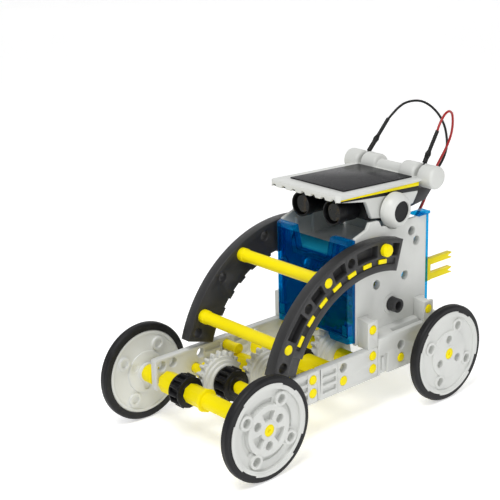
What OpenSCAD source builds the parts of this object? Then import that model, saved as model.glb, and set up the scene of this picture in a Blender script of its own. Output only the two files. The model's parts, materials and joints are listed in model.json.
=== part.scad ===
// Solar robot kit, built as a four-wheeled car with a tilting solar head.
// Millimetres. +Z is up, the front looks along -Y, +X is the robot's left.

/* [Running gear] */
// Outer diameter of a tyre
tyre_d = 51.5; // [50:0.5:53]
// Distance from the front axle to the rear axle
wheelbase = 126; // [124:1:127]
// Distance between the outer faces of the wheels
track_w = 98.5; // [97:0.5:101]
// Width of a wheel rim and its tyre
wheel_w = 4.7; // [4:0.1:5.2]
// Diameter of the round axles and pegs
axle_d = 5; // [4.8:0.1:5.1]

/* [Chassis] */
// Distance between neighbouring holes of the kit's hole grid
pitch = 7; // [7:1:7]
// Distance between the outer faces of the side beams
chassis_w = 69; // [68:0.5:70]
// Thickness of a side beam
beam_t = 4; // [3:0.5:4.5]
// Height of a side beam
beam_h = 16.5; // [16:0.5:18]

/* [Gearbox] */
// Distance between the outer faces of the gearbox sides
box_w = 54; // [53:0.5:55]
// Thickness of a gearbox side
side_t = 2; // [1.5:0.1:2.4]
// Wall thickness of the clear covers
cover_t = 1.8; // [1.4:0.1:2.2]

/* [Arches] */
// Radius of the outer edge of an arch
arch_r = 72; // [71:0.5:73]
// Width of an arch from its inner edge to its outer edge
arch_w = 16.5; // [16:0.5:17]
// Thickness of an arch
arch_t = 6; // [5:0.5:6]

/* [Head] */
// Width of the solar panel frame
panel_w = 49.6; // [48:0.2:51]
// Length of the solar panel frame
panel_l = 64.2; // [63:0.2:65]
// Angle by which the front of the head is raised
head_pitch = 2.7; // [0:0.1:5]

/* [Wires] */
// Diameter of a wire's insulation
wire_d = 1.3; // [0.9:0.1:1.4]

/* [Hidden] */

$fn = 64;
eps = 0.01;
run_fit = 0.06;

// Colours
white = "whitesmoke";
yellow = "gold";
dark = "dimgray";
black = "#202124";
clear_blue = [0.05, 0.5, 0.9, 0.5];
steel = "silver";

// Axle line and the hole grid along the beams; y = 0 is midway between the axles.
// The whole is lifted at the end, so that the tyres stand on z = 0.
axle_z = 25;
lift = tyre_d / 2 - axle_z;
axle_r = axle_d / 2;
hole_r = axle_r + run_fit;
front_y = -wheelbase / 2;
rear_y = wheelbase / 2;
peg_z = axle_z + pitch;
beam_x = chassis_w / 2;
beam_in = beam_x - beam_t;
beam_z0 = 19.5;
beam_top = beam_z0 + beam_h;
beam_y0 = front_y - 4;
beam_joint_y = -17;
beam_y1 = 24.7;

// Gearbox
box_x = box_w / 2;
box_in = box_x - side_t;
box_y0 = 16;
box_y1 = 68.6;
box_z0 = 36.6;
box_top = 95;
deck_z = 81;
shaft_y = 42;
shaft_z = 52.8;
wire_hole = [12, 83];
wire_hole_r = 1.9;

// Arches: rings about one centre, seen from the side as (y, z)
arch_c = [21.7, 20.2];
arch_x1 = 34.5;
arch_x0 = arch_x1 - arch_t;
arch_in_r = arch_r - arch_w;
arch_hole_r = 66.7;
arch_dash_r = 60.7;
arch_a0 = 73;
arch_a1 = 163;
pin_a = 83.6;
rod_a = [118.3, 151.2];
spare_a = [103.8, 132.4, 158.9];
dash_a0 = 84;
dash_step = 10.3;
dash_count = 7;
function arch_point(r, a) = [arch_c[0] + r * cos(a), arch_c[1] + r * sin(a)];

// Head: its own frame has its origin on the ear axis
ear_y = 45;
ear_z = 102;
ear_r = 9.2;
plate_z = 12.6;
plate_y0 = -39.1;
plate_y1 = plate_y0 + panel_l;
eye_x = 11.3;
eye_r = 6.4;

// Tail fork reaches furthest back, so it sets the centre of the whole length
tail_y1 = 98.75;
centre_y = (tail_y1 + front_y - tyre_d / 2) / 2;

// ---------------------------------------------------------------- helpers
module place() translate([0, -centre_y, lift]) children();
module both() { children(); mirror([1, 0, 0]) children(); }
module yz_plate(x0, x1) translate([x0, 0, 0]) rotate([90, 0, 90]) linear_extrude(x1 - x0) children();
module xz_plate(y0, y1) translate([0, y1, 0]) rotate([90, 0, 0]) linear_extrude(y1 - y0) children();
module xy_plate(z0, z1) translate([0, 0, z0]) linear_extrude(z1 - z0) children();
module x_rod(p, x0, x1, r, sides = 64)
  translate([x0, p[0], p[1]]) rotate([0, 90, 0]) cylinder(r = r, h = x1 - x0, $fn = sides);
module block(lo, hi) translate(lo) cube(hi - lo);
module soft_rect(lo, hi, r) {
  translate([lo[0] + r, lo[1]]) square([hi[0] - lo[0] - 2 * r, hi[1] - lo[1]]);
  translate([lo[0], lo[1] + r]) square([hi[0] - lo[0], hi[1] - lo[1] - 2 * r]);
  for (x = [lo[0] + r, hi[0] - r], y = [lo[1] + r, hi[1] - r]) translate([x, y]) circle(r);
}
function arc_points(c, r, a0, a1, n) =
  [for (i = [0:n]) let (a = a0 + (a1 - a0) * i / n) [c[0] + r * cos(a), c[1] + r * sin(a)]];
module ring_sector(c, r0, r1, a0, a1, n = 36)
  polygon(concat(arc_points(c, r0, a0, a1, n), arc_points(c, r1, a1, a0, n)));

// ---------------------------------------------------------------- gear teeth
// Involute teeth in the (y, z) plane: a positive turn runs from +Y towards +Z.
press_a = 25;
tip_k = 0.75;
root_k = 1.0;
slack_k = 0.1;
function inv_deg(r, rb) = r <= rb ? 0 : sqrt(pow(r / rb, 2) - 1) * 180 / PI - acos(rb / r);
function half_tooth(m, n, r) = let (rp = m * n / 2, rb = rp * cos(press_a))
  (PI / 2 - slack_k) * m / 2 / rp * 180 / PI + inv_deg(rp, rb) - inv_deg(max(r, rb), rb);
function tooth_radii(m, n) = let (rp = m * n / 2)
  [rp - root_k * m, max(rp - 0.45 * m, rp * cos(press_a)), rp + 0.2 * m, rp + tip_k * m];
function flank(m, n, a, side, order) = let (q = tooth_radii(m, n))
  [for (j = order) let (t = a + side * half_tooth(m, n, q[j])) q[j] * [cos(t), sin(t)]];
function gear_points(m, n, phase) = [for (i = [0:n - 1]) let (a = phase + i * 360 / n)
  each concat(flank(m, n, a, -1, [0, 1, 2, 3]), flank(m, n, a, 1, [3, 2, 1, 0]))];
module gear_2d(m, n, phase) polygon(gear_points(m, n, phase));
module gear(p, x0, x1, m, n, phase) yz_plate(x0, x1) translate(p) gear_2d(m, n, phase);
function along(p, q) = atan2(q[1] - p[1], q[0] - p[0]);
function pair_m(p, q, n1, n2) = 2 * norm(q - p) / (n1 + n2);
// Phase that puts a tooth gap of the second gear on the tooth of the first where they meet
function meet(p, q, n1, n2, phase1) = let (a = along(p, q), u = (a - phase1) * n1 / 360)
  a + 180 - (0.5 - u) * 360 / n2;

// Gear train, from the front axle back to the motor, as (y, z) centres
big_n = 21;
small_n = 12;
c_front = [front_y, axle_z];
c_a = [front_y + 3 * pitch, axle_z];
c_b = [front_y + 6 * pitch, axle_z];
c_c = [front_y + 9 * pitch, axle_z];
c_d = [front_y + 12 * pitch, axle_z];
c_drive = [28, 44.8];
c_out = [shaft_y, shaft_z];
c_red_a = [41.3, 67.7];
c_red_b = [51.5, 70];
c_motor = [57.5, 62];
link_n = [12, 20];
out_n = 36;
red_small_n = 10;
red_big_n = 40;
chain_m = pair_m(c_front, c_a, small_n, big_n);
drive_m = pair_m(c_d, c_drive, big_n, small_n);
link_m = pair_m(c_drive, c_out, link_n[0], link_n[1]);
out_m = pair_m(c_out, c_red_a, out_n, red_small_n);
red_m = pair_m(c_red_a, c_red_b, red_big_n, red_small_n);
motor_m = pair_m(c_red_b, c_motor, red_big_n, red_small_n);
f_front = 0;
f_a_big = meet(c_front, c_a, small_n, big_n, f_front);
f_a_small = 0;
f_b = meet(c_a, c_b, small_n, big_n, f_a_small);
f_c = meet(c_b, c_c, big_n, small_n, f_b);
f_d = meet(c_c, c_d, small_n, big_n, f_c);
f_drive = meet(c_d, c_drive, big_n, small_n, f_d);
f_link = 0;
f_out_link = meet(c_drive, c_out, link_n[0], link_n[1], f_link);
f_out = 0;
f_a_in = meet(c_out, c_red_a, out_n, red_small_n, f_out);
f_a_out = 0;
f_b_in = meet(c_red_a, c_red_b, red_big_n, red_small_n, f_a_out);
f_b_out = 0;
f_motor = meet(c_red_b, c_motor, red_big_n, red_small_n, f_b_out);
// Tooth planes along X
chain_x = [-2.6, 0.4];
front_plane = [-13.6, -10.6];

// ---------------------------------------------------------------- beams
module beam_2d(y0, y1) soft_rect([y0, beam_z0], [y1, beam_top], 1.2);
slot_web = [beam_in + 1.8, beam_x - 1.4];
module slots(y, w) for (i = [0:2], x = [[beam_in - 1, slot_web[0]], [slot_web[1], beam_x + 1]])
  yz_plate(x[0], x[1]) translate([y - w / 2, beam_z0 + 3 + i * 4.2]) square([w, 2.6]);
module holes_2d(points) for (p = points) translate(p) circle(hole_r);
module pegs_2d(points) for (p = points) translate(p) circle(axle_r);
front_pegs = [[-21, peg_z]];
front_holes = [c_front, c_a, c_b, [front_y, peg_z], [front_y + pitch, peg_z], [-38, peg_z]];
rear_pegs = [[21, peg_z]];
rear_holes = [c_c, c_d, [0, peg_z]];
module beam_recess(y0, y1) block([beam_in - 1, y0, beam_z0 + 2], [beam_in + 0.8, y1, beam_top - 2]);
module beam_front_left() color(white) difference() {
  yz_plate(beam_in, beam_x) difference() {
    beam_2d(beam_y0, beam_joint_y);
    holes_2d(front_holes);
    pegs_2d(front_pegs);
  }
  slots(-29.5, 10);
  block([beam_x - 0.4, -24.8, beam_z0 - 1], [beam_x + 1, -24.4, beam_top + 1]);
  beam_recess(-36, -23.6);
}
module beam_rear_left() color(white) difference() {
  yz_plate(beam_in, beam_x) difference() {
    beam_2d(beam_joint_y, beam_y1);
    holes_2d(rear_holes);
    pegs_2d(rear_pegs);
  }
  slots(-9.8, 9.2);
  block([beam_x - 0.4, -4.2, beam_z0 - 1], [beam_x + 1, -3.8, beam_top + 1]);
  beam_recess(-15.6, -4);
}
module beam_front_right() mirror([1, 0, 0]) beam_front_left();
module beam_rear_right() mirror([1, 0, 0]) beam_rear_left();

// Cradle that carries the gearbox and the rear axle
cradle_y0 = 25;
cradle_y1 = 74;
cradle_z0 = 19.4;
ledge_out_z = 39.5;
ledge_in_z = 41.8;
module cradle_wall() {
  difference() {
    xz_plate(cradle_y0, cradle_y1) polygon([
      [box_x, cradle_z0], [beam_x, cradle_z0], [beam_x, ledge_out_z], [box_x, ledge_in_z]]);
    x_rod([rear_y, axle_z], 20, 40, hole_r);
    x_rod([shaft_y, peg_z], 20, 40, hole_r);
    x_rod([shaft_y, axle_z], 20, 40, axle_r);
    block([beam_x - 1.6, cradle_y0 + 1.6, cradle_z0 - 1], [beam_x + 1, cradle_y0 + 7, 30.6]);
    block([30, cradle_y0 + 13, 36.5], [beam_x - 2, cradle_y1 - 14, 45]);
  }
  block([beam_x - 1.61, cradle_y0 + 3.4, cradle_z0 + 2.5], [beam_x - 0.4, cradle_y0 + 5.2, 29]);
}
module cradle() color(white) {
  both() cradle_wall();
  block([-box_x - 0.5, cradle_y1 - 3, cradle_z0], [box_x + 0.5, cradle_y1, ledge_in_z - 0.4]);
  block([-box_x - 0.5, 47, cradle_z0], [box_x + 0.5, 50, 31]);
}

// ---------------------------------------------------------------- gearbox
plate_holes = [[31.5, 65.5], [52.5, 65.5], [57.4, 88.3], [61.2, 82.3], [23, 82.3]];
arch_pin = arch_point(arch_hole_r, pin_a);
module side_2d() difference() {
  polygon([[box_y0, box_z0], [box_y0, 93.2], [24.5, 96], [26.4, 99.3], [33, 98.8], [35.2, box_top],
    [58, box_top], [box_y1, box_top], [box_y1, box_z0]]);
  translate([ear_y, ear_z]) circle(ear_r + 0.5);
}
module gearbox_side(spigots) color(white) {
  difference() {
    union() {
      yz_plate(box_in, box_x) side_2d();
      for (p = plate_holes) x_rod(p, box_in - 1.6, box_in + eps, axle_r + 1.6);
      x_rod(c_out, box_in - 1.4, box_x + 0.6, 5.4);
      for (s = spigots) x_rod(s[0], s[1], box_in + eps, s[2]);
    }
    for (p = plate_holes) x_rod(p, box_in - 2, box_x + 1, axle_r);
    x_rod(arch_pin, box_x - 1, box_x + 1, axle_r);
    x_rod(c_out, box_in - 2, box_x + 2, 3.75);
    x_rod(c_drive, box_in - 1, box_x + 1, 2.05);
  }
}
module gearbox_side_left() gearbox_side([[c_red_a, 10.4, 1.2], [c_red_b, 6.4, 0.8]]);
module gearbox_side_right() mirror([1, 0, 0]) gearbox_side([]);
// White tray that closes the gear space under the head, with two ribs that hold the motor
motor_ribs = [[-14, -10], [0, 4]];
module gearbox_deck() color(white) difference() {
  union() {
    block([-box_in, box_y0 + 1, deck_z - 1.6], [box_in, box_y1 - 2.2, deck_z]);
    block([-box_in, 60, deck_z - eps], [box_in, 61.6, 90]);
    for (s = [-1, 1], y = [24, 36])
      block([s * (box_in - 0.8) - 0.8, y, deck_z - eps], [s * (box_in - 0.8) + 0.8, y + 1.4, 92]);
    for (x = motor_ribs) block([x[0], 60.5, 66], [x[1], 64.5, deck_z - 1]);
  }
  x_rod(c_motor, -20, 6, 10);
  both() for (p = plate_holes) x_rod(p, box_in - 1.7, box_in + 1, axle_r + 1.7);
  translate([0, 64.6, deck_z - 3]) cylinder(r = 2.4, h = 6);
  for (s = [-1, 1]) translate([s * 10, 40, deck_z - 3]) cylinder(r = 2, h = 6);
}

// Clear covers: a shallow tray with a trapezoid notch in its top edge
cover_y0 = 11.8;
cover_front_x = 25.2;
cover_z0 = 38;
rear_cover_z0 = ledge_in_z + 0.2;
idler_notch = [[-9.5, 0], [-7.5, 3.2], [11.5, 3.2], [13.5, 0]];
cover_top = 92.6;
rear_cover_top = 94.6;
notch_top_w = 13.8;
notch_low_w = 10.8;
notch_z = 80.8;
module cover_2d(z0, z1, inset, top_w, low_w, low_z) difference() {
  translate([-box_x + inset, z0 + inset]) square([2 * (box_x - inset), z1 - z0 - 2 * inset]);
  polygon([[-low_w - inset, low_z - inset], [low_w + inset, low_z - inset],
    [top_w + inset, z1 + 1], [-top_w - inset, z1 + 1]]);
}
module front_cover_2d(inset) cover_2d(cover_z0, cover_top, inset, notch_top_w, notch_low_w, notch_z);
latch_x = 23.2;
latch_w = 1.8;
latch_z = 44.6;
boss_points = [[-20, 72], [20, 72], [-7, 66], [7, 62], [0, 50]];
module front_cover() color(clear_blue) difference() {
  union() {
    difference() {
      xz_plate(cover_y0, box_y0 - 0.05) front_cover_2d(0);
      xz_plate(cover_y0 + cover_t, box_y0 + 1) front_cover_2d(cover_t + 1.8);
      xz_plate(cover_y0 - 1, cover_y0 + 0.4) front_cover_2d(cover_t + 1);
      both() xy_plate(cover_z0 - 1, cover_top + 1) polygon([
        [cover_front_x, cover_y0 - 0.1], [box_x + 1, cover_y0 - 0.1], [box_x + 1, box_y0], [box_x, box_y0]]);
    }
    for (p = boss_points) translate([p[0], cover_y0 - 0.9, p[1]]) rotate([-90, 0, 0]) cylinder(r = 2.6, h = 2);
  }
  xz_plate(cover_y0 - 1, box_y0 + 1) translate([0, cover_z0 - eps]) polygon(idler_notch);
  for (s = [-1, 1]) block([s * latch_x - latch_w - 0.1, cover_y0 - 1, latch_z - 2.8],
    [s * latch_x + latch_w + 0.1, box_y0, latch_z + 2.8]);
  for (p = boss_points) translate([p[0], cover_y0 - 1.2, p[1]]) rotate([-90, 0, 0]) cylinder(r = 1.2, h = 1.6);
}
rear_notch_w = 21.5;
rear_cover_y1 = box_y1 + 1.9;
module rear_cover_2d(inset)
  cover_2d(rear_cover_z0, rear_cover_top, inset, rear_notch_w, rear_notch_w - 1.5, 84);
module rear_cover() color(clear_blue) difference() {
  union() {
    difference() {
      xz_plate(box_y1 + 0.05, rear_cover_y1) rear_cover_2d(0);
      xz_plate(box_y1 - 1, rear_cover_y1 - 1.2) rear_cover_2d(cover_t);
    }
    for (s = [-1, 1]) block([s * 25 - 3.1, 61.8, box_top + 0.05], [s * 25 + 3.1, rear_cover_y1, box_top + 1.6]);
  }
  translate([wire_hole[0], box_y1 + 4, wire_hole[1]]) rotate([90, 0, 0]) cylinder(r = wire_hole_r, h = 8);
}
module cover_latches() color(white) for (s = [-1, 1])
  block([s * latch_x - latch_w, cover_y0 + 0.4, latch_z - 2.7], [s * latch_x + latch_w, box_y0, latch_z + 2.7]);

// Posts that clip the gearbox sides, with a yellow peg through each
post_y = [21, rear_y];
post_z = 46;
module post(y, z_in, z_out) difference() {
  xz_plate(y - 3.5, y + 3.5)
    polygon([[box_x, z_in], [beam_x, z_out], [beam_x, post_z + 4.4], [box_x, post_z + 5.4]]);
  x_rod([y, post_z], box_x - 1, beam_x + 1, axle_r);
  block([box_x + 1.4, y + 1.2, post_z + 2.7], [beam_x - 1.4, y + 4, post_z + 6]);
}
module side_posts() color(white) both() {
  post(post_y[0], beam_top, beam_top);
  post(post_y[1], ledge_in_z, ledge_out_z);
}
peg_cap = 0.35;
module peg(p, x0, x1) {
  x_rod(p, x0, x1 - 0.3, axle_r);
  x_rod(p, x1 - 0.3, x1 + peg_cap, axle_r - 0.35);
}
module snap_pegs() color(yellow) both() {
  for (y = post_y) peg([y, post_z], box_x, beam_x);
  peg(front_pegs[0], 20.5, beam_x);
  x_rod(front_pegs[0], 20.2, 22.4, axle_r + 0.3);
  peg(rear_pegs[0], beam_in - 2, beam_x);
  peg([shaft_y, axle_z], box_x, beam_x);
}

// ---------------------------------------------------------------- arches
arch_web = 2;
pocket_r0 = 63.4;
pocket_r1 = 69.7;
channel_r0 = 59.1;
channel_r1 = 62.3;
channel_d = 1;
boss_half_a = 3.6;
pocket_a = [[arch_a0 + 1.4, pin_a - 4.6], [pin_a + 4.2, spare_a[0] - boss_half_a],
  [spare_a[0] + boss_half_a, rod_a[0] - boss_half_a], [rod_a[0] + boss_half_a, spare_a[1] - boss_half_a],
  [spare_a[1] + boss_half_a, rod_a[1] - boss_half_a]];
module arch_left() color(dark) difference() {
  union() {
    yz_plate(arch_x0, arch_x1) ring_sector(arch_c, arch_in_r, arch_r, arch_a0, arch_a1, 44);
    yz_plate(arch_x0, arch_x0 + 2.4) for (i = [0:dash_count - 1]) let (a = dash_a0 + i * dash_step)
      ring_sector(arch_c, arch_in_r - 1.2, arch_in_r + 0.5, a - 2.4, a + 2.4, 4);
  }
  yz_plate(arch_x0 + arch_web, arch_x1 + 1)
    for (a = pocket_a) ring_sector(arch_c, pocket_r0, pocket_r1, a[0], a[1], 10);
  yz_plate(arch_x1 - channel_d, arch_x1 + 1)
    ring_sector(arch_c, channel_r0, channel_r1, dash_a0 - 8.5, dash_a0 + dash_step * (dash_count - 1) + 4.5, 30);
  for (a = concat(rod_a, [pin_a])) x_rod(arch_point(arch_hole_r, a), arch_x0 - 1, arch_x1 + 1, axle_r);
  for (a = spare_a) x_rod(arch_point(arch_hole_r, a), arch_x0 - 1, arch_x1 + 1, hole_r);
  yz_plate(arch_x1 - 1.2, arch_x1 + 1)
    ring_sector(arch_c, arch_in_r - 1, channel_r1, arch_a1 - 9.5, arch_a1 + 2, 6);
}
module arch_right() mirror([1, 0, 0]) arch_left();
module arch_inserts() color(yellow) both() for (i = [0:dash_count - 1]) let (a = dash_a0 + i * dash_step)
  yz_plate(arch_x1 - channel_d, arch_x1 - 0.1) translate(arch_point(arch_dash_r, a)) rotate(a)
    translate([-1.15, -2.8]) square([2.3, 5.6]);
rod_r = 3.2;
module arch_rods() color(yellow) for (a = rod_a) let (p = arch_point(arch_hole_r, a)) {
  x_rod(p, -arch_x1, arch_x1, axle_r);
  x_rod(p, -arch_x0, arch_x0, rod_r);
  both() x_rod(p, arch_x0 - 3.4, arch_x0, rod_r + 0.4);
  both() x_rod(p, arch_x1 - eps, arch_x1 + peg_cap, axle_r - 0.35);
}
module arch_pins() color(yellow) both() {
  x_rod(arch_pin, box_x - 1, arch_x1 + 0.5, axle_r);
  x_rod(arch_pin, box_x, arch_x0, axle_r + 1.5);
  x_rod(arch_pin, arch_x1, arch_x1 + 2.6, 3.2);
  x_rod(arch_pin, arch_x1 + 2.5, arch_x1 + 3.2, 2.7);
}

// Yellow two-pronged fork on the rear cover
fork_x = 18;
fork_z = 59.6;
fork_gap = 8.4;
function prong_z(side) = fork_z + side * fork_gap / 2;
module tail_fork() color(yellow) {
  block([fork_x - 1.7, rear_cover_y1, fork_z - 6.2], [fork_x + 1.7, 81.5, fork_z + 6.2]);
  for (s = [-1, 1]) difference() {
    block([fork_x - 1.7, 81.4, prong_z(s) - 1.7], [fork_x + 1.7, tail_y1, prong_z(s) + 1.7]);
    yz_plate(fork_x - 3, fork_x + 3) polygon([[tail_y1 - 3.4, prong_z(s)],
      [tail_y1 + 1, prong_z(s) - 1.5], [tail_y1 + 1, prong_z(s) + 1.5]]);
  }
}

// ---------------------------------------------------------------- motor
motor_x = [-18, 5];
module motor_can() color(steel) difference() {
  union() {
    intersection() {
      x_rod(c_motor, motor_x[0], motor_x[1], 10);
      block([motor_x[0], c_motor[0] - 7.5, 40], [motor_x[1], c_motor[0] + 7.5, 80]);
    }
    x_rod(c_motor, motor_x[1] - eps, motor_x[1] + 1, 3);
  }
  x_rod(c_motor, -2, 8, 1.06);
}
module motor_rotor() color(steel) {
  x_rod(c_motor, -1.5, 10.6, 1);
  gear(c_motor, 6.8, 10.2, motor_m, red_small_n, f_motor);
}

// ---------------------------------------------------------------- gears on the drive chain
flange_r = 7.9;
module pinion(c, x0, x1, phase) color(black) difference() {
  union() {
    gear(c, x0, x1, chain_m, small_n, phase);
    x_rod(c, x0 - 1, x0 + eps, flange_r);
    x_rod(c, x1 - eps, x1 + 1, flange_r);
    x_rod(c, x1, x1 + 1.6, 5.4);
  }
  x_rod(c, x0 - 2, x1 + 3, axle_r);
}
module step_gear(c, x0, hub_end, phase) color(white) {
  step = (hub_end - x0 - 3) / 3;
  difference() {
    union() {
      gear(c, x0, x0 + 3, chain_m, big_n, phase);
      for (i = [0:2]) x_rod(c, x0 + 3 - eps, x0 + 3 + (i + 1) * step, 12.1 - 1.7 * i);
    }
    x_rod(c, x0 - 1, hub_end + 1, axle_r);
    difference() {
      x_rod(c, x0 - 1, x0 + 1, 11.6);
      x_rod(c, x0 - 2, x0 + 2, 4.4);
    }
  }
}
module through_axle(c) x_rod(c, -beam_x, beam_x, axle_r);
module sleeve(c, x0, x1, r, sides = 64) difference() {
  x_rod(c, x0, x1, r, sides);
  x_rod(c, x0 - 1, x1 + 1, axle_r);
}
gap = 0.5;
a_pinion = [-5.6, 0.8];
c_pinion = [-3.4, 5.2];
module idler_a_axle() color(yellow) {
  through_axle(c_a);
  sleeve(c_a, -24, front_plane[0], 5, 8);
  sleeve(c_a, a_pinion[1] + 2.6, beam_in - gap, 3.3);
}
module idler_a_gear() step_gear(c_a, front_plane[0], a_pinion[0] - 1, f_a_big);
module idler_a_pinion() pinion(c_a, a_pinion[0], a_pinion[1], f_a_small);
module idler_b_axle() color(yellow) {
  through_axle(c_b);
  sleeve(c_b, -24, -19.6, 3.8);
  sleeve(c_b, -19.6 - eps, chain_x[0], 5);
  sleeve(c_b, chain_x[1] + 5.4, beam_in - gap, 3.8);
}
module idler_b_gear() step_gear(c_b, chain_x[0], chain_x[1] + 5.4, f_b);
module idler_c_axle() color(yellow) {
  through_axle(c_c);
  sleeve(c_c, gap - beam_in, -20, 5);
  sleeve(c_c, -20, c_pinion[0] - 1, 3.6);
  sleeve(c_c, c_pinion[1] + 2.6, beam_in - 6, 6.4);
}
module idler_c_pinion() pinion(c_c, c_pinion[0], c_pinion[1], f_c);
d_gear_x = 1.6;
module idler_d_axle() color(yellow) {
  through_axle(c_d);
  sleeve(c_d, -20, d_gear_x, 5);
  sleeve(c_d, d_gear_x + 9, 24, 4.2);
}
module idler_d_gear() step_gear(c_d, d_gear_x, d_gear_x + 9, f_d);
module drive_gear() color(yellow) {
  gear(c_drive, 1.2, 5, drive_m, small_n, f_drive);
  x_rod(c_drive, -2.8, 1.2 + eps, 9.6);
  gear(c_drive, -23.2, -20, link_m, link_n[0], f_link);
  x_rod(c_drive, -box_x + 0.2, box_x - 0.2, 2);
  x_rod(c_drive, -20 - eps, box_in - 0.6, 3);
}
module output_shaft() color(dark) difference() {
  x_rod(c_out, -32.6, 32.6, 3.7);
  for (s = [-1, 1]) x_rod(c_out, s * 28.8 - 4, s * 28.8 + 4, 2.5, 8);
}
module output_gear() color(yellow) difference() {
  union() {
    gear(c_out, -23.2, -20, link_m, link_n[1], f_out_link);
    x_rod(c_out, -20 - eps, -17, 5.2);
    gear(c_out, 15, 18, out_m, out_n, f_out);
    x_rod(c_out, 12.4, 15 + eps, 5.2);
  }
  x_rod(c_out, -26, 26, 3.7);
}
module reduction(c, big_x, big_m, small_x, small_m, f_big, f_small, bore_r) color(yellow) difference() {
  union() {
    gear(c, big_x[0], big_x[1], big_m, red_big_n, f_big);
    gear(c, big_x[1] - eps, small_x[1], small_m, red_small_n, f_small);
  }
  x_rod(c, big_x[0] - 1, small_x[1] + 1, bore_r);
}
module reduction_gear_a() reduction(c_red_a, [11, 13], red_m, [13, 18.6], out_m, f_a_out, f_a_in, 1.26);
module reduction_gear_b() reduction(c_red_b, [7, 9.4], motor_m, [9.4, 13.4], red_m, f_b_out, f_b_in, 0.86);

// ---------------------------------------------------------------- axles and wheels
wheel_x = track_w / 2;
hub_x = wheel_x - wheel_w - 2.4;
rim_r = 21.9;
lip_r = 22.6;
boss_ring_r = 15.5;
boss_r = 3.6;
tyre_r = tyre_d / 2;
module wheel_axle(c) {
  x_rod(c, -wheel_x + 1.5, wheel_x - 1.5, axle_r);
  both() x_rod(c, wheel_x - 1.6, wheel_x - 0.3, 3);
  both() x_rod(c, beam_x + 0.6, hub_x, 4.6);
}
module front_axle() color(yellow) difference() {
  wheel_axle(c_front);
  both() x_rod(c_front, wheel_x - 0.9, wheel_x + 1, 0.8);
}
module rear_axle() color(yellow) {
  difference() {
    wheel_axle(c_rear);
    both() x_rod(c_rear, wheel_x - 0.9, wheel_x + 1, 0.8);
  }
  both() sleeve(c_rear, 22, box_x - 0.6, 4.6);
}
c_rear = [rear_y, axle_z];
front_pinion = [-15, -9.4];
module front_gear() pinion(c_front, front_pinion[0], front_pinion[1], f_front);
module front_sleeves() color(yellow) {
  sleeve(c_front, -27, front_pinion[0] - 1, 5.8, 8);
  sleeve(c_front, front_pinion[1] + 1.6, 3, 5.2, 8);
  sleeve(c_front, 3 - eps, 5, 6.1, 8);
  sleeve(c_front, 5 - eps, beam_in - gap, 4.1);
}
module tyre_ring(c) translate([wheel_x, c[0], c[1]]) rotate([0, -90, 0]) rotate_extrude($fn = 128) polygon([
  [rim_r, 0.6], [tyre_r - 1.1, 0.6], [tyre_r - 0.4, 0.9], [tyre_r, 1.6], [tyre_r, wheel_w - 0.8],
  [tyre_r - 0.4, wheel_w], [tyre_r - 1.2, wheel_w + 0.4], [rim_r, wheel_w + 0.4]]);
module lip(c, i, a0, grow) yz_plate(wheel_x - 0.62, wheel_x - 0.02)
  ring_sector(c, rim_r - 1, lip_r + grow, a0 + i * 90 + 8, a0 + i * 90 + 72, 14);
module around(c, r, a) translate([0, c[0] + r * cos(a), c[1] + r * sin(a)]) children();
module rim(c, a0, b0, trough_d, arc_d) difference() {
  union() {
    x_rod(c, wheel_x - wheel_w, wheel_x - 0.3, rim_r);
    for (i = [0:3]) lip(c, i, a0, 0);
    x_rod(c, hub_x, wheel_x - wheel_w + eps, 5);
    x_rod(c, wheel_x - 1, wheel_x, 4.4);
    for (i = [0:3]) around(c, boss_ring_r, a0 + i * 90)
      x_rod([0, 0], wheel_x - wheel_w - 1.2, wheel_x - 0.1, boss_r);
    x_rod(c, wheel_x - wheel_w - 0.5, wheel_x - wheel_w + eps, 11);
    difference() {
      x_rod(c, wheel_x - wheel_w - 0.3, wheel_x - wheel_w + eps, rim_r - 0.4);
      x_rod(c, wheel_x - wheel_w - 1, wheel_x - wheel_w + 1, rim_r - 2);
    }
  }
  difference() {
    x_rod(c, wheel_x - trough_d, wheel_x + 1, 19.8);
    x_rod(c, wheel_x - 4, wheel_x + 2, 12.6);
    for (i = [0:3]) around(c, boss_ring_r, a0 + i * 90) x_rod([0, 0], wheel_x - 4, wheel_x + 2, boss_r);
  }
  yz_plate(wheel_x - arc_d, wheel_x + 1) for (i = [0:3])
    ring_sector(c, 12.9, 15.4, a0 + i * 90 + 17, a0 + i * 90 + 73, 12);
  for (i = [0:3]) around(c, boss_ring_r, a0 + i * 90) {
    x_rod([0, 0], wheel_x - 3.4, wheel_x + 1, boss_r - 1.3);
    x_rod([0, 0], wheel_x - wheel_w - 2, wheel_x - wheel_w - 0.4, boss_r - 1.6);
  }
  for (i = [0:2]) around(c, 7.8, b0 + i * 120) {
    x_rod([0, 0], wheel_x - 3.4, wheel_x + 1, 2.2);
    x_rod([0, 0], wheel_x - wheel_w - 1, wheel_x - wheel_w, 1.8);
  }
  if (arc_d > 1) yz_plate(wheel_x - 2.8, wheel_x + 1) for (i = [0:2])
    ring_sector(c, 4.9, 9.6, b0 + 60 + i * 120 - 24, b0 + 60 + i * 120 + 24, 8);
  x_rod(c, hub_x - 1, wheel_x + 1, axle_r);
  x_rod(c, wheel_x - 1.6, wheel_x + 1, 3);
}
module front_rims() color(white) both() rim(c_front, 59, 30, 1.9, 3.2);
module rear_rims() color(white) both() rim(c_rear, 65, 90, 1, 1);
module front_tyres() color(black) both() difference() {
  tyre_ring(c_front);
  for (i = [0:3]) lip(c_front, i, 59, 0.02);
}
module rear_tyres() color(black) both() difference() {
  tyre_ring(c_rear);
  for (i = [0:3]) lip(c_rear, i, 65, 0.02);
}

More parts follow.
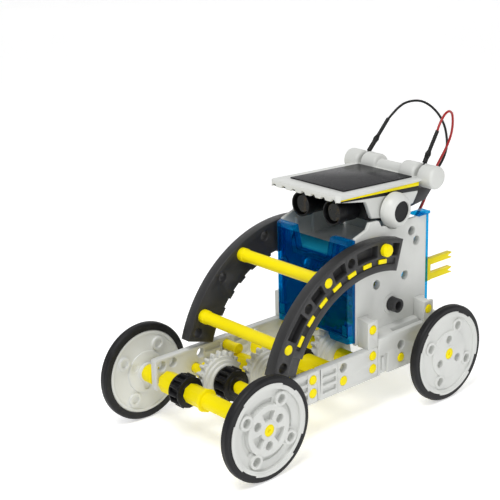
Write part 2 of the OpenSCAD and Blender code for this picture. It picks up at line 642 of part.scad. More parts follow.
// ---------------------------------------------------------------- head
module head_frame() translate([0, ear_y, ear_z]) rotate([-head_pitch, 0, 0]) children();
cell_y0 = -29.8;
cell_y1 = 20.5;
cell_x = 19.2;
trim_y0 = -37;
trim_y1 = 19.8;
function trim_share(y) = (y - trim_y0) / (trim_y1 - trim_y0);
function trim_top(y) = 10.4 + 0.9 * trim_share(y);
function trim_mid(y) = 9.8 - 0.6 * trim_share(y);
function trim_low(y) = 9 - 2.5 * trim_share(y);
knob_r = 6.1;
knob_y = 26.9;
knob_z = 13.1;
slot_x = [18.9, 21.2];
module solar_cell() color(black) head_frame() xy_plate(plate_z - 1, plate_z + 0.5)
  soft_rect([-cell_x, cell_y0], [cell_x, cell_y1], 0.6);
module knob(x0, x1, r) translate([x0, knob_y, knob_z]) rotate([0, 90, 0]) rotate_extrude() polygon(concat(
  [[0, 0]], [for (a = [0:30:90]) [r - 1.6 + 1.6 * sin(a), 1.6 - 1.6 * cos(a)]],
  [for (a = [90:-30:0]) [r - 1.6 + 1.6 * sin(a), x1 - x0 - 1.6 + 1.6 * cos(a)]], [[0, x1 - x0]]));
skirt_z = 9.2;
module panel_2d() soft_rect([-panel_w / 2, plate_y0], [panel_w / 2, plate_y1], 3);
module solar_frame() color(white) head_frame() difference() {
  union() {
    xy_plate(trim_top(trim_y1), plate_z) panel_2d();
    intersection() {
      xy_plate(skirt_z, plate_z) panel_2d();
      yz_plate(-panel_w, panel_w) polygon([[plate_y0 - 1, skirt_z], [trim_y0 - 0.02, skirt_z],
        [trim_y0 - 0.02, trim_top(trim_y0)], [trim_y1, trim_top(trim_y1)], [plate_y0 - 1, plate_z - 0.2]]);
    }
    both() {
      knob(slot_x[1], 31.2, knob_r);
      knob(8.3, slot_x[0], knob_r);
    }
    x_rod([knob_y, knob_z], -9, 9, 3.6);
    block([-slot_x[0], trim_y1 + 1.4, 10.8], [slot_x[0], knob_y, 12.4]);
  }
  xy_plate(plate_z - 1, plate_z + 4) soft_rect([-cell_x, cell_y0], [cell_x, cell_y1], 0.6);
  for (i = [-3:3]) translate([i * 7, plate_y0 - 1, skirt_z - 0.3]) rotate([-90, 0, 0]) cylinder(r = 1.7, h = 4);
}
module trim_yellow() color(yellow) head_frame() yz_plate(-24.5, 24.5) polygon([
  [trim_y0, trim_top(trim_y0) - 0.02], [trim_y1, trim_top(trim_y1) - 0.02], [trim_y1, trim_mid(trim_y1)],
  [trim_y0, trim_mid(trim_y0)]]);
module trim_black() color(black) head_frame() yz_plate(-24.1, 24.1) polygon([
  [trim_y0, trim_mid(trim_y0)], [trim_y1, trim_mid(trim_y1)], [trim_y1, trim_low(trim_y1)],
  [trim_y0, trim_low(trim_y0)]]);
side_x = [21.6, 24];
ear_neck_r = 6.6;
module head_sides() color(white) head_frame() both() difference() {
  yz_plate(side_x[0], side_x[1]) polygon([
    [trim_y0, trim_low(trim_y0)], [-18.6, 6.6], [-14, -2.8], [-9.4, -3.2], [0, -5], [16.6, 0.4],
    [19.6, 5.4], [trim_y1, trim_low(trim_y1)]]);
  x_rod([0, 0], 20, 26, ear_neck_r + 0.02);
}
ear_x = 31.6;
ear_face_x = 24.7;
neck_r = 5.5;
neck_wide_r = 7.2;
module ear_caps() color(white) head_frame() both() difference() {
  union() {
    translate([ear_face_x, 0, 0]) rotate([0, 90, 0]) rotate_extrude() polygon([
      [0, 0], [ear_r - 0.4, 0], [ear_r, 0.4], [ear_r, 2.4], [ear_r - 0.4, 3.8], [ear_r - 1.2, 5.3],
      [ear_r - 2.4, 6.5], [ear_r - 3.3, 6.9], [0, 6.9]]);
    x_rod([0, 0], side_x[0], ear_face_x + eps, ear_neck_r);
  }
  x_rod([0, 0], side_x[0] - 1, ear_x + 1, neck_r);
}
module neck_axle() color(dark) head_frame() {
  x_rod([0, 0], -ear_x + 1, ear_x - 1, neck_r);
  x_rod([0, 0], -21.5, 21.5, neck_wide_r);
}
module jaw() color(dark) head_frame() difference() {
  yz_plate(-21.5, 21.5) polygon([[-15.8, -3.4], [-13, -4.6], [12, -4.6], [13.4, 1], [14, trim_low(14)],
    [-15.8, trim_low(-15.8)]]);
  x_rod([0, 0], -30, 30, neck_wide_r);
  both() translate([eye_x, -16.8, 0.4]) rotate([-90, 0, 0]) cylinder(r = 4, h = 4);
}
module rear_wing() color(dark) head_frame() yz_plate(-20.4, 20.4) polygon([
  [20.4, 6], [31, 6.4], [35.4, 4.8], [30.5, -0.6], [19, -2.7], [16.6, 0.2]]);
module eye_tubes() color(dark) head_frame() both() translate([eye_x, 0, 0.4]) rotate([90, 0, 0]) difference() {
  union() {
    translate([0, 0, 15.8]) cylinder(r = eye_r - 0.7, h = 13);
    translate([0, 0, 24.8]) cylinder(r = eye_r, h = 4.8);
    translate([0, 0, 13]) cylinder(r = 4, h = 3);
  }
  translate([0, 0, 26.8]) cylinder(r = eye_r - 0.9, h = 4);
}
module eye_lenses() color("darkslategray") head_frame() both() translate([eye_x, 0, 0.4]) rotate([90, 0, 0])
  translate([0, 0, 26.8]) cylinder(r1 = eye_r - 0.9, r2 = eye_r - 2, h = 1.2);
module terminal_clips() color(steel) head_frame() both() {
  block([slot_x[0] + 0.3, knob_y - 1.6, knob_z - 2], [slot_x[1] - 0.3, knob_y + 3, knob_z + 2.4]);
}

// ---------------------------------------------------------------- wires
black_route = [[-19.2, 89.6, 134.8], [-18, 92, 137.6], [-16.5, 94.4, 140.4], [-14.4, 97.4, 142.8],
  [-11.5, 100.8, 143.9], [-8.4, 104, 143.6], [-5, 106.2, 141.8], [-1.6, 107.8, 138.8], [1.6, 108.5, 135.2],
  [4.6, 108.3, 130.8], [7, 107.2, 126], [9, 105.2, 121.8], [10.6, 102, 118], [11.8, 97.8, 114.4],
  [12.4, 93.4, 111], [12.6, 89.2, 106.6], [12.4, 86, 101.4], [12, 83.4, 96], [11.6, 80, 90.8], [11.3, 75.6, 86.2],
  [11.2, 71.2, 83.4],
  [11.2, 67.4, 82.8]];
red_route = [[20, 84.2, 135], [20, 85.6, 137.8], [19.9, 87.8, 140.6], [19.6, 90.8, 142.9], [19.3, 94, 143.6],
  [18.9, 96.8, 142], [18.4, 98.2, 138.6], [18, 98.6, 134.4], [17.5, 98.2, 130.2], [16.9, 97, 126.2],
  [16.3, 95.2, 122.4], [15.6, 92.8, 118.4], [14.9, 90, 113.8], [14.3, 87.4, 108.8], [13.9, 85, 103.4],
  [13.5, 82.8, 97.6], [13, 79.6, 92], [12.8, 75.4, 87], [12.8, 71.2, 83.4],
  [12.8, 67.4, 82.8]];
wire_steps = 2;
wire_sides = 8;
function spline_at(p, i, t) = let (a = p[max(i - 1, 0)], b = p[i], c = p[i + 1], d = p[min(i + 2, len(p) - 1)])
  0.5 * ((2 * b) + (c - a) * t + (2 * a - 5 * b + 4 * c - d) * t * t + (3 * b - a - 3 * c + d) * t * t * t);
function spline(p) = concat([for (i = [0:len(p) - 2], k = [0:wire_steps - 1]) spline_at(p, i, k / wire_steps)],
  [p[len(p) - 1]]);
function unit(v) = v / norm(v);
function ring(p, i, r) = let (n = len(p) - 1, t = unit(p[min(i + 1, n)] - p[max(i - 1, 0)]),
  u = unit(cross([1, 0, 0], t)), v = cross(t, u))
  [for (k = [0:wire_sides - 1]) let (a = k * 360 / wire_sides) p[i] + r * (cos(a) * u + sin(a) * v)];
module tube(route, r) {
  path = spline(route);
  last = len(path) - 1;
  polyhedron(
    points = [for (i = [0:last]) each ring(path, i, r)],
    faces = concat([[for (k = [0:wire_sides - 1]) k]],
      [for (i = [0:last - 1], k = [0:wire_sides - 1]) let (j = (k + 1) % wire_sides, s = wire_sides)
        [i * s + k, (i + 1) * s + k, (i + 1) * s + j, i * s + j]],
      [[for (k = [wire_sides - 1:-1:0]) last * wire_sides + k]]));
}
module wire_black() color("#151515") tube(black_route, wire_d / 2);
module wire_red() color("firebrick") tube(red_route, wire_d / 2);

// A wire's plug: a bare pin in the terminal and a heat-shrink sleeve over the joint
module plug(tip, x_lean) {
  foot = head_point([tip[0] - x_lean, knob_y, knob_z + 3]);
  span = tip - foot;
  h = norm(span);
  translate(foot) rotate([-asin(span[1] / h), asin(span[0] / h), 0]) {
    cylinder(r = 0.5, h = 7);
    translate([0, 0, 3.4]) cylinder(r = 1.25, h = h - 16.4);
    translate([0, 0, h - 13.2]) cylinder(r1 = 1.6, r2 = 1.0, h = 2.2);
    translate([0, 0, h - 15.4]) cylinder(r1 = 1.25, r2 = 1.6, h = 2.21);
    translate([0, 0, h - 12]) cylinder(r = 1.0, h = 12);
  }
}
function head_point(p) = [p[0], ear_y + p[1] * cos(head_pitch) + p[2] * sin(head_pitch),
  ear_z - p[1] * sin(head_pitch) + p[2] * cos(head_pitch)];
module plug_black() color("#151515") plug(black_route[0], 0.8);
module plug_red() color("#151515") plug(red_route[0], 0);

place() beam_front_left();
place() beam_front_right();
place() beam_rear_left();
place() beam_rear_right();
place() cradle();
place() gearbox_side_left();
place() gearbox_side_right();
place() gearbox_deck();
place() front_cover();
place() rear_cover();
place() cover_latches();
place() side_posts();
place() snap_pegs();
place() arch_left();
place() arch_right();
place() arch_inserts();
place() arch_rods();
place() arch_pins();
place() motor_can();
place() tail_fork();
place() front_axle();
place() front_gear();
place() front_sleeves();
place() front_rims();
place() front_tyres();
place() rear_axle();
place() rear_rims();
place() rear_tyres();
place() idler_a_axle();
place() idler_a_gear();
place() idler_a_pinion();
place() idler_b_axle();
place() idler_b_gear();
place() idler_c_axle();
place() idler_c_pinion();
place() idler_d_axle();
place() idler_d_gear();
place() drive_gear();
place() output_shaft();
place() output_gear();
place() reduction_gear_a();
place() reduction_gear_b();
place() motor_rotor();
place() solar_cell();
place() solar_frame();
place() trim_yellow();
place() trim_black();
place() head_sides();
place() ear_caps();
place() neck_axle();
place() jaw();
place() rear_wing();
place() eye_tubes();
place() eye_lenses();
place() terminal_clips();
place() plug_black();
place() plug_red();
place() wire_black();
place() wire_red();
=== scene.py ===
import json
import math
import bpy
import bmesh
from mathutils import Matrix, Vector


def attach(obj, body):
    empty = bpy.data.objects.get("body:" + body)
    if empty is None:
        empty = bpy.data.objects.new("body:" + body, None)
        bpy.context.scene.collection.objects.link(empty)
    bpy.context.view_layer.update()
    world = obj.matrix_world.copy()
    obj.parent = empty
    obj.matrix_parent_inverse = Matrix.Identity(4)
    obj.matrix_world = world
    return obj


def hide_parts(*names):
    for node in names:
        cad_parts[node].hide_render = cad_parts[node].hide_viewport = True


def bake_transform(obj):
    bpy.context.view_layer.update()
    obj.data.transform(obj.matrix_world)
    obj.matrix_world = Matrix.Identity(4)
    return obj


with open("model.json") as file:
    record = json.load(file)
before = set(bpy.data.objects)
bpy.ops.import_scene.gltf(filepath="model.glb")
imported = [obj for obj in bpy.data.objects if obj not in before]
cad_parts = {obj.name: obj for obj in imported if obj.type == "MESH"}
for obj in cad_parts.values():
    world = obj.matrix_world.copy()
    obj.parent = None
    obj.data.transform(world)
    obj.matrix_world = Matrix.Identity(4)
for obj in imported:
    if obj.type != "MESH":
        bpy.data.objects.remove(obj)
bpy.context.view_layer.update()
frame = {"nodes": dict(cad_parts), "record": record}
NODES = frame["nodes"]
MM = 0.001

# ---------------------------------------------------------------- camera
# Where the viewer stands: angles round the car and above it, in degrees, and the point looked at
VIEW_AZIMUTH = 49.1
VIEW_ELEVATION = 18.36
VIEW_ROLL = -1.6
VIEW_TARGET = Vector((0, -0.0342, 0.09315))
VIEW_DISTANCE = 0.6069
LENS_MM = 90.25


def make_camera():
    azimuth, elevation, roll = (math.radians(v) for v in (VIEW_AZIMUTH, VIEW_ELEVATION, VIEW_ROLL))
    back = Vector((math.sin(azimuth) * math.cos(elevation), -math.cos(azimuth) * math.cos(elevation),
                   math.sin(elevation)))
    level = Vector((math.cos(azimuth), math.sin(azimuth), 0))
    upright = back.cross(level)
    right = level * math.cos(roll) + upright * math.sin(roll)
    up = upright * math.cos(roll) - level * math.sin(roll)
    data = bpy.data.cameras.new("camera")
    data.lens = LENS_MM
    data.sensor_width = 36
    data.clip_start = 0.01
    data.clip_end = 20
    camera = bpy.data.objects.new("camera", data)
    turn = Matrix((right, up, back)).transposed()
    camera.matrix_world = Matrix.Translation(VIEW_TARGET + back * VIEW_DISTANCE) @ turn.to_4x4()
    bpy.context.scene.collection.objects.link(camera)
    bpy.context.scene.camera = camera


make_camera()
bpy.context.scene.view_settings.view_transform = "Standard"


# ---------------------------------------------------------------- meshes
def add_piece(name, mesh, body, material):
    piece = bpy.data.objects.new(name, mesh)
    bpy.context.scene.collection.objects.link(piece)
    mesh.materials.append(material)
    if body is not None:
        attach(piece, body)
    return piece


def smooth_by_angle(mesh, degrees):
    """Smooth shading, with the edges that turn by more than this many degrees kept sharp."""
    work = bmesh.new()
    work.from_mesh(mesh)
    limit = math.radians(degrees)
    for edge in work.edges:
        edge.smooth = len(edge.link_faces) == 2 and edge.calc_face_angle(math.pi) < limit
    for face in work.faces:
        face.smooth = True
    work.to_mesh(mesh)
    work.free()


def spline(points, steps):
    """A smooth line through the points, with this many steps from each to the next."""
    line = []
    last = len(points) - 1
    for i in range(last):
        a, b, c, d = (Vector(points[j]) for j in (max(i - 1, 0), i, i + 1, min(i + 2, last)))
        for k in range(steps):
            t = k / steps
            line.append(0.5 * (2 * b + (c - a) * t + (2 * a - 5 * b + 4 * c - d) * t * t
                               + (3 * b - a - 3 * c + d) * t ** 3))
    return line + [Vector(points[-1])]


def tube_mesh(name, line, radius, sides):
    """A closed tube of this radius along the line."""
    mesh = bpy.data.meshes.new(name)
    work = bmesh.new()
    rings = []
    side = Vector((1, 0, 0))
    for i, point in enumerate(line):
        along = (line[min(i + 1, len(line) - 1)] - line[max(i - 1, 0)]).normalized()
        side = (side - along * side.dot(along)).normalized()
        other = along.cross(side)
        rings.append([work.verts.new(point + radius * (math.cos(a) * side + math.sin(a) * other))
                      for a in (2 * math.pi * k / sides for k in range(sides))])
    for low, high in zip(rings, rings[1:]):
        for k in range(sides):
            n = (k + 1) % sides
            work.faces.new((low[k], low[n], high[n], high[k]))
    work.faces.new(list(reversed(rings[0])))
    work.faces.new(rings[-1])
    bmesh.ops.recalc_face_normals(work, faces=work.faces)
    work.to_mesh(mesh)
    work.free()
    smooth_by_angle(mesh, 50)
    return mesh


# ---------------------------------------------------------------- materials
# Width of the rounding that the shading gives to every moulded edge and of the painted edge highlight on the
# plastics, and the width of the painted dark shade line along the edges of the clear covers
EDGE_RADIUS = 0.35 * MM
CLEAR_EDGE_RADIUS = 0.9 * MM
BEVEL_SAMPLES = 6


def new_material(name):
    material = bpy.data.materials.new(name)
    material.use_nodes = True
    nodes = material.node_tree.nodes
    return material, nodes, material.node_tree.links, nodes["Principled BSDF"]


def noise(nodes, links, scale, detail, stretch=(1, 1, 1)):
    """Noise in the frame's own metres, so that the grain stays with the piece."""
    place = nodes.new("ShaderNodeTexCoord")
    mapping = nodes.new("ShaderNodeMapping")
    mapping.inputs["Scale"].default_value = stretch
    texture = nodes.new("ShaderNodeTexNoise")
    texture.inputs["Scale"].default_value = scale
    texture.inputs["Detail"].default_value = detail
    links.new(place.outputs["Object"], mapping.inputs["Vector"])
    links.new(mapping.outputs["Vector"], texture.inputs["Vector"])
    return texture.outputs["Fac"]


def ramp(nodes, links, source, low, high, low_value, high_value):
    """A value that goes from low_value to high_value as the source goes from low to high."""
    spread = nodes.new("ShaderNodeMapRange")
    spread.inputs["From Min"].default_value = low
    spread.inputs["From Max"].default_value = high
    spread.inputs["To Min"].default_value = low_value
    spread.inputs["To Max"].default_value = high_value
    links.new(source, spread.inputs["Value"])
    return spread.outputs["Result"]


def relief(nodes, links, height, strength, depth):
    """A bump node with this strength and this depth in metres, fed by the height."""
    bump = nodes.new("ShaderNodeBump")
    bump.inputs["Strength"].default_value = strength
    bump.inputs["Distance"].default_value = depth
    links.new(height, bump.inputs["Height"])
    return bump


def blend_colours(nodes, links, factor, first, second):
    mix = nodes.new("ShaderNodeMix")
    mix.data_type = "RGBA"
    mix.inputs["A"].default_value = (*first, 1)
    mix.inputs["B"].default_value = (*second, 1)
    links.new(factor, mix.inputs["Factor"])
    return mix.outputs["Result"]


def scaled(colour, amount):
    return tuple(min(1, channel * amount) for channel in colour)


def edge_mask(nodes, links, radius):
    """How far the surface turns within this radius: 1 along edges and 0 on flat stretches."""
    bevel = nodes.new("ShaderNodeBevel")
    bevel.samples = BEVEL_SAMPLES
    bevel.inputs["Radius"].default_value = radius
    geometry = nodes.new("ShaderNodeNewGeometry")
    dot = nodes.new("ShaderNodeVectorMath")
    dot.operation = "DOT_PRODUCT"
    links.new(bevel.outputs["Normal"], dot.inputs[0])
    links.new(geometry.outputs["Normal"], dot.inputs[1])
    return ramp(nodes, links, dot.outputs["Value"], 0.98, 0.75, 0, 1)


def plastic(name, colour, roughness, bump=0.12, edge=1.12, sheen=0.5):
    """Moulded plastic: slight colour drift, a fine grain in its gloss, and a painted highlight that lightens
    every edge.
    """
    material, nodes, links, shader = new_material(name)
    drift = ramp(nodes, links, noise(nodes, links, 45, 3), 0.3, 0.7, 0, 1)
    body = blend_colours(nodes, links, drift, scaled(colour, 0.95), scaled(colour, 1.04))
    # Painted highlight: the colour is lightened along every edge by the edge factor
    edge_highlight = nodes.new("ShaderNodeMix")
    edge_highlight.data_type = "RGBA"
    edge_highlight.inputs["B"].default_value = (*scaled(colour, edge), 1)
    links.new(body, edge_highlight.inputs["A"])
    links.new(edge_mask(nodes, links, EDGE_RADIUS), edge_highlight.inputs["Factor"])
    links.new(edge_highlight.outputs["Result"], shader.inputs["Base Color"])
    marks = noise(nodes, links, 420, 6)
    links.new(ramp(nodes, links, marks, 0.35, 0.7, roughness * 0.85, min(1, roughness * 1.2)),
              shader.inputs["Roughness"])
    shader.inputs["IOR"].default_value = 1.5
    shader.inputs["Specular IOR Level"].default_value = sheen
    rounded = nodes.new("ShaderNodeBevel")
    rounded.samples = BEVEL_SAMPLES
    rounded.inputs["Radius"].default_value = EDGE_RADIUS
    grain = relief(nodes, links, noise(nodes, links, 2600, 3), bump, 0.06 * MM)
    links.new(rounded.outputs["Normal"], grain.inputs["Normal"])
    links.new(grain.outputs["Normal"], shader.inputs["Normal"])
    return material


def clear_plastic(name, tint, haze, painted_edge_shade):
    """Clear tinted plastic: light goes through a slight haze, and the edges are painted a darker blue as
    painted shade.
    """
    material, nodes, links, shader = new_material(name)
    through = nodes.new("ShaderNodeBsdfTransparent")
    edges = edge_mask(nodes, links, CLEAR_EDGE_RADIUS)
    # Painted shade: along the edges both the tint and the haze turn to a darker blue
    links.new(blend_colours(nodes, links, edges, tint, painted_edge_shade), through.inputs["Color"])
    links.new(blend_colours(nodes, links, edges, haze, painted_edge_shade), shader.inputs["Base Color"])
    links.new(ramp(nodes, links, noise(nodes, links, 300, 4), 0.3, 0.7, 0.07, 0.14), shader.inputs["Roughness"])
    facing = nodes.new("ShaderNodeLayerWeight")
    facing.inputs["Blend"].default_value = 0.35
    cover = ramp(nodes, links, facing.outputs["Facing"], 0, 1, 0.14, 0.55)
    waves = relief(nodes, links, noise(nodes, links, 90, 2), 0.15, 0.2 * MM)
    links.new(waves.outputs["Normal"], shader.inputs["Normal"])
    mix = nodes.new("ShaderNodeMixShader")
    links.new(cover, mix.inputs["Fac"])
    links.new(through.outputs["BSDF"], mix.inputs[1])
    links.new(shader.outputs["BSDF"], mix.inputs[2])
    links.new(mix.outputs["Shader"], nodes["Material Output"].inputs["Surface"])
    return material


def steel_material():
    material, nodes, links, shader = new_material("steel")
    shader.inputs["Metallic"].default_value = 1
    grain = noise(nodes, links, 900, 4, (12, 1, 1))
    links.new(blend_colours(nodes, links, grain, (0.42, 0.41, 0.4), (0.66, 0.65, 0.63)),
              shader.inputs["Base Color"])
    links.new(ramp(nodes, links, grain, 0.3, 0.7, 0.22, 0.42), shader.inputs["Roughness"])
    links.new(relief(nodes, links, grain, 0.1, 0.05 * MM).outputs["Normal"], shader.inputs["Normal"])
    return material


def rubber_material():
    material, nodes, links, shader = new_material("black_rubber")
    dust = ramp(nodes, links, noise(nodes, links, 260, 6), 0.45, 0.75, 0, 1)
    links.new(blend_colours(nodes, links, dust, (0.007, 0.007, 0.008), (0.016, 0.016, 0.017)),
              shader.inputs["Base Color"])
    shader.inputs["Specular IOR Level"].default_value = 0.3
    links.new(ramp(nodes, links, dust, 0, 1, 0.5, 0.68), shader.inputs["Roughness"])
    texture = relief(nodes, links, noise(nodes, links, 1800, 4), 0.25, 0.08 * MM)
    links.new(texture.outputs["Normal"], shader.inputs["Normal"])
    return material


# Distance between the solar cell's collector lines
CELL_LINE_GAP = 1.6 * MM


def cell_material():
    """Dark cell under clear resin, with hair-thin collector lines that hardly show."""
    material, nodes, links, shader = new_material("solar_cell")
    place = nodes.new("ShaderNodeTexCoord")
    split = nodes.new("ShaderNodeSeparateXYZ")
    links.new(place.outputs["Object"], split.inputs["Vector"])
    stripes = nodes.new("ShaderNodeMath")
    stripes.operation = "PINGPONG"
    stripes.inputs[1].default_value = CELL_LINE_GAP / 2
    links.new(split.outputs["Y"], stripes.inputs[0])
    line = ramp(nodes, links, stripes.outputs["Value"], 0.04 * MM, 0.09 * MM, 1, 0)
    links.new(blend_colours(nodes, links, line, (0.01, 0.01, 0.012), (0.022, 0.021, 0.023)),
              shader.inputs["Base Color"])
    links.new(ramp(nodes, links, noise(nodes, links, 120, 4), 0.3, 0.7, 0.22, 0.3), shader.inputs["Roughness"])
    shader.inputs["Specular IOR Level"].default_value = 0.08
    shader.inputs["Coat Weight"].default_value = 0.03
    shader.inputs["Coat Roughness"].default_value = 0.05
    waves = relief(nodes, links, noise(nodes, links, 35, 2), 0.1, 0.4 * MM)
    links.new(waves.outputs["Normal"], shader.inputs["Coat Normal"])
    return material


def lens_material():
    """Dark lens with a faint brown and green glint deep inside."""
    material, nodes, links, shader = new_material("lens")
    glint = ramp(nodes, links, noise(nodes, links, 240, 2), 0.5, 0.68, 0, 1)
    links.new(blend_colours(nodes, links, glint, (0.006, 0.008, 0.006), (0.05, 0.032, 0.008)),
              shader.inputs["Base Color"])
    links.new(ramp(nodes, links, noise(nodes, links, 60, 3), 0.3, 0.7, 0.12, 0.22), shader.inputs["Roughness"])
    shader.inputs["Specular IOR Level"].default_value = 0.25
    ripples = relief(nodes, links, noise(nodes, links, 500, 2), 0.05, 0.1 * MM)
    links.new(ripples.outputs["Normal"], shader.inputs["Normal"])
    return material


WHITE = plastic("white_plastic", (0.66, 0.67, 0.645), 0.36, edge=1.1, sheen=0.4)
YELLOW = plastic("yellow_plastic", (0.96, 0.80, 0.001), 0.4, edge=1.05, sheen=0.15)
DARK = plastic("dark_grey_plastic", (0.03, 0.03, 0.031), 0.42, bump=0.3, edge=2.4, sheen=0.4)
BLACK = plastic("black_plastic", (0.006, 0.006, 0.007), 0.42, edge=2.2, sheen=0.25)
BLUE = clear_plastic("clear_blue_plastic", (0.05, 0.71, 0.95), (0.0, 0.2, 0.55), (0.0, 0.05, 0.25))
RUBBER = rubber_material()
STEEL = steel_material()
CELL = cell_material()
LENS = lens_material()
INSULATION_BLACK = plastic("black_insulation", (0.006, 0.006, 0.006), 0.45, bump=0.2, edge=1.5, sheen=0.25)
INSULATION_RED = plastic("red_insulation", (0.36, 0.006, 0.006), 0.35, bump=0.15, edge=1.2)
BY_SLOT = {
    "white_plastic": WHITE, "yellow_plastic": YELLOW, "dark_grey_plastic": DARK, "black_plastic": BLACK,
    "clear_blue_plastic": BLUE, "black_rubber": RUBBER, "steel": STEEL, "solar_cell": CELL, "lens": LENS,
    "black_insulation": INSULATION_BLACK, "red_insulation": INSULATION_RED,
}
SLOT_OF = {part["node"]: part["material_slot"] for part in frame["record"]["subparts"]}
BODY_OF = {node: body for body, nodes in frame["record"]["behaviour"]["bodies"].items() for node in nodes}
for node, piece in NODES.items():
    for place in piece.material_slots:
        place.material = BY_SLOT[SLOT_OF[node]]

# ---------------------------------------------------------------- wires
# Each route runs from the plug on a terminal, over and down behind the head, into the rear cover
WIRE_RADIUS = 0.65 * MM
WIRE_STEPS = 6
WIRE_SIDES = 12
BLACK_ROUTE = [
    (-19.2, 84.6, 135.55), (-18, 87, 138.35), (-16.5, 89.4, 141.15), (-14.4, 92.4, 143.55),
    (-11.5, 95.8, 144.65), (-8.4, 99, 144.35), (-5, 101.2, 142.55), (-1.6, 102.8, 139.55),
    (1.6, 103.5, 135.95), (4.6, 103.3, 131.55), (7, 102.2, 126.75), (9, 100.2, 122.55),
    (10.6, 97, 118.75), (11.8, 92.8, 115.15), (12.4, 88.4, 111.75), (12.6, 84.2, 107.35),
    (12.4, 81, 102.15), (12, 78.4, 96.75), (11.6, 75, 91.55), (11.3, 70.6, 86.95),
    (11.2, 66.2, 84.15), (11.2, 62.4, 83.55),
]
RED_ROUTE = [
    (20, 79.2, 135.75), (20, 80.6, 138.55), (19.9, 82.8, 141.35), (19.6, 85.8, 143.65),
    (19.3, 89, 144.35), (18.9, 91.8, 142.75), (18.4, 93.2, 139.35), (18, 93.6, 135.15),
    (17.5, 93.2, 130.95), (16.9, 92, 126.95), (16.3, 90.2, 123.15), (15.6, 87.8, 119.15),
    (14.9, 85, 114.55), (14.3, 82.4, 109.55), (13.9, 80, 104.15), (13.5, 77.8, 98.35),
    (13, 74.6, 92.75), (12.8, 70.4, 87.75), (12.8, 66.2, 84.15), (12.8, 62.4, 83.55),
]


def make_wire(name, route, node, material):
    line = spline([Vector(p) * MM for p in reversed(route)], WIRE_STEPS)
    mesh = tube_mesh(name, line, WIRE_RADIUS, WIRE_SIDES)
    wire = add_piece(name, mesh, None, material)
    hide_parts(node)
    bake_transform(wire)


make_wire("black_wire", BLACK_ROUTE, "wire_black", INSULATION_BLACK)
make_wire("red_wire", RED_ROUTE, "wire_red", INSULATION_RED)


# ---------------------------------------------------------------- softened plastic
# Edges that turn by more than this many degrees are rounded
SOFT_ANGLE = 24
# Share of its volume that a node may lose or gain when its edges are rounded
VOLUME_SLACK = 0.02


def soften(node, width, flatten):
    """A copy of the CAD node with its edges rounded by this width, which stands for the node."""
    source = NODES[node]
    work = bmesh.new()
    work.from_mesh(source.data)
    bmesh.ops.remove_doubles(work, verts=work.verts, dist=2e-6)
    bmesh.ops.dissolve_degenerate(work, dist=1e-6, edges=work.edges)
    volume = abs(work.calc_volume(signed=True))
    if flatten:
        bmesh.ops.dissolve_limit(work, angle_limit=math.radians(0.6), verts=work.verts, edges=work.edges,
                                 delimit={"NORMAL"})
    limit = math.radians(SOFT_ANGLE)
    edges = [e for e in work.edges if len(e.link_faces) == 2 and e.calc_face_angle(0) > limit]
    bmesh.ops.bevel(work, geom=edges, offset=width, offset_type="OFFSET", segments=2, profile=0.5,
                    affect="EDGES", clamp_overlap=False, loop_slide=True, miter_outer="SHARP")
    after = abs(work.calc_volume(signed=True))
    mesh = bpy.data.meshes.new(node + "_soft")
    work.to_mesh(mesh)
    work.free()
    smooth_by_angle(mesh, 38)
    if abs(after / volume - 1) > VOLUME_SLACK:
        raise ValueError(node + " lost its shape: volume ratio " + str(round(after / volume, 4)))
    piece = add_piece(node + "_soft", mesh, BODY_OF[node], BY_SLOT[SLOT_OF[node]])
    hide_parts(node)


# Merging the flat faces of these makes their shading patchy
KEEP_TRIANGLES = ("front_rims", "rear_rims", "gearbox_deck")
# Width of the rounding on each node's edges, in millimetres
SOFT_WIDTHS = {
    "beam_front_left": 0.25, "beam_front_right": 0.25, "beam_rear_left": 0.25, "beam_rear_right": 0.25,
    "cradle": 0.3, "gearbox_side_left": 0.2, "gearbox_side_right": 0.2, "gearbox_deck": 0.2,
    "front_cover": 0.2, "rear_cover": 0.2, "side_posts": 0.25, "arch_left": 0.2, "arch_right": 0.2,
    "arch_inserts": 0.15, "snap_pegs": 0.15, "arch_rods": 0.15, "arch_pins": 0.2, "tail_fork": 0.3,
    "cover_latches": 0.2, "front_axle": 0.15, "rear_axle": 0.15, "front_rims": 0.15, "rear_rims": 0.15,
    "front_gear": 0.12, "idler_a_gear": 0.12, "idler_a_pinion": 0.12, "idler_b_gear": 0.12,
    "idler_c_pinion": 0.12, "idler_d_gear": 0.12, "drive_gear": 0.12, "output_shaft": 0.15,
    "front_sleeves": 0.2, "idler_a_axle": 0.2, "idler_b_axle": 0.2, "idler_c_axle": 0.2, "idler_d_axle": 0.2,
    "solar_frame": 0.25, "trim_yellow": 0.1, "trim_black": 0.15, "head_sides": 0.2, "ear_caps": 0.15,
    "jaw": 0.3, "rear_wing": 0.3, "eye_tubes": 0.2, "solar_cell": 0.1,
}
for soft_node, soft_width in SOFT_WIDTHS.items():
    soften(soft_node, soft_width * MM, flatten=soft_node not in KEEP_TRIANGLES)


# ---------------------------------------------------------------- floor and light
# The floor in metres: how far it reaches behind the viewer and to each side, where the curve up
# to the wall begins, the curve's radius and the wall's height
FLOOR_NEAR = 9.0
FLOOR_SIDE = 8.0
WALL_START = 1.6
WALL_CURVE = 0.6
WALL_HEIGHT = 3.0
CURVE_STEPS = 12


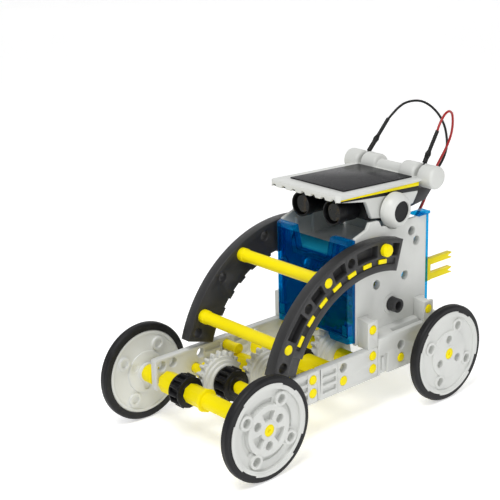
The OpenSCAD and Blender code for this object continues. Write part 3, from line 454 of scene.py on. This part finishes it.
def make_stage():
    """A white floor that curves up behind the car into a wall across the view."""
    away = Vector((-math.sin(math.radians(VIEW_AZIMUTH)), math.cos(math.radians(VIEW_AZIMUTH)), 0))
    across = Vector((away.y, -away.x, 0))
    turns = [math.pi / 2 * i / CURVE_STEPS for i in range(CURVE_STEPS + 1)]
    curve = [(WALL_START + WALL_CURVE * math.sin(a), WALL_CURVE - WALL_CURVE * math.cos(a)) for a in turns]
    profile = [(-FLOOR_NEAR, 0.0)] + curve + [(WALL_START + WALL_CURVE, WALL_HEIGHT)]
    points = [tuple(away * run + across * side + Vector((0, 0, rise))) for run, rise in profile
              for side in (-FLOOR_SIDE, FLOOR_SIDE)]
    faces = [(2 * i, 2 * i + 1, 2 * i + 3, 2 * i + 2) for i in range(len(profile) - 1)]
    mesh = bpy.data.meshes.new("floor")
    mesh.from_pydata(points, [], faces)
    for face in mesh.polygons:
        face.use_smooth = True
    floor = bpy.data.objects.new("floor", mesh)
    bpy.context.scene.collection.objects.link(floor)
    material, nodes, links, shader = new_material("floor")
    shader.inputs["Base Color"].default_value = (0.9, 0.9, 0.9, 1)
    shader.inputs["Roughness"].default_value = 0.5
    shader.inputs["Emission Color"].default_value = (1, 1, 1, 1)
    shader.inputs["Emission Strength"].default_value = 0.45
    mesh.materials.append(material)
    world = bpy.data.worlds.new("world")
    bpy.context.scene.world = world
    world.use_nodes = True
    world.node_tree.nodes["Background"].inputs["Color"].default_value = (1, 1, 1, 1)
    world.node_tree.nodes["Background"].inputs["Strength"].default_value = 0.28


def area_light(name, place, target, size, watts):
    data = bpy.data.lights.new(name, "AREA")
    data.size = size
    data.energy = watts
    lamp = bpy.data.objects.new(name, data)
    lamp.location = place
    lamp.rotation_euler = (Vector(target) - Vector(place)).to_track_quat("-Z", "Y").to_euler()
    bpy.context.scene.collection.objects.link(lamp)


make_stage()
area_light("key", (0.2, -0.4, 0.85), (0, 0, 0.05), 0.4, 5)
area_light("side", (0.85, -0.15, 0.5), (0, 0, 0.06), 0.35, 1.8)
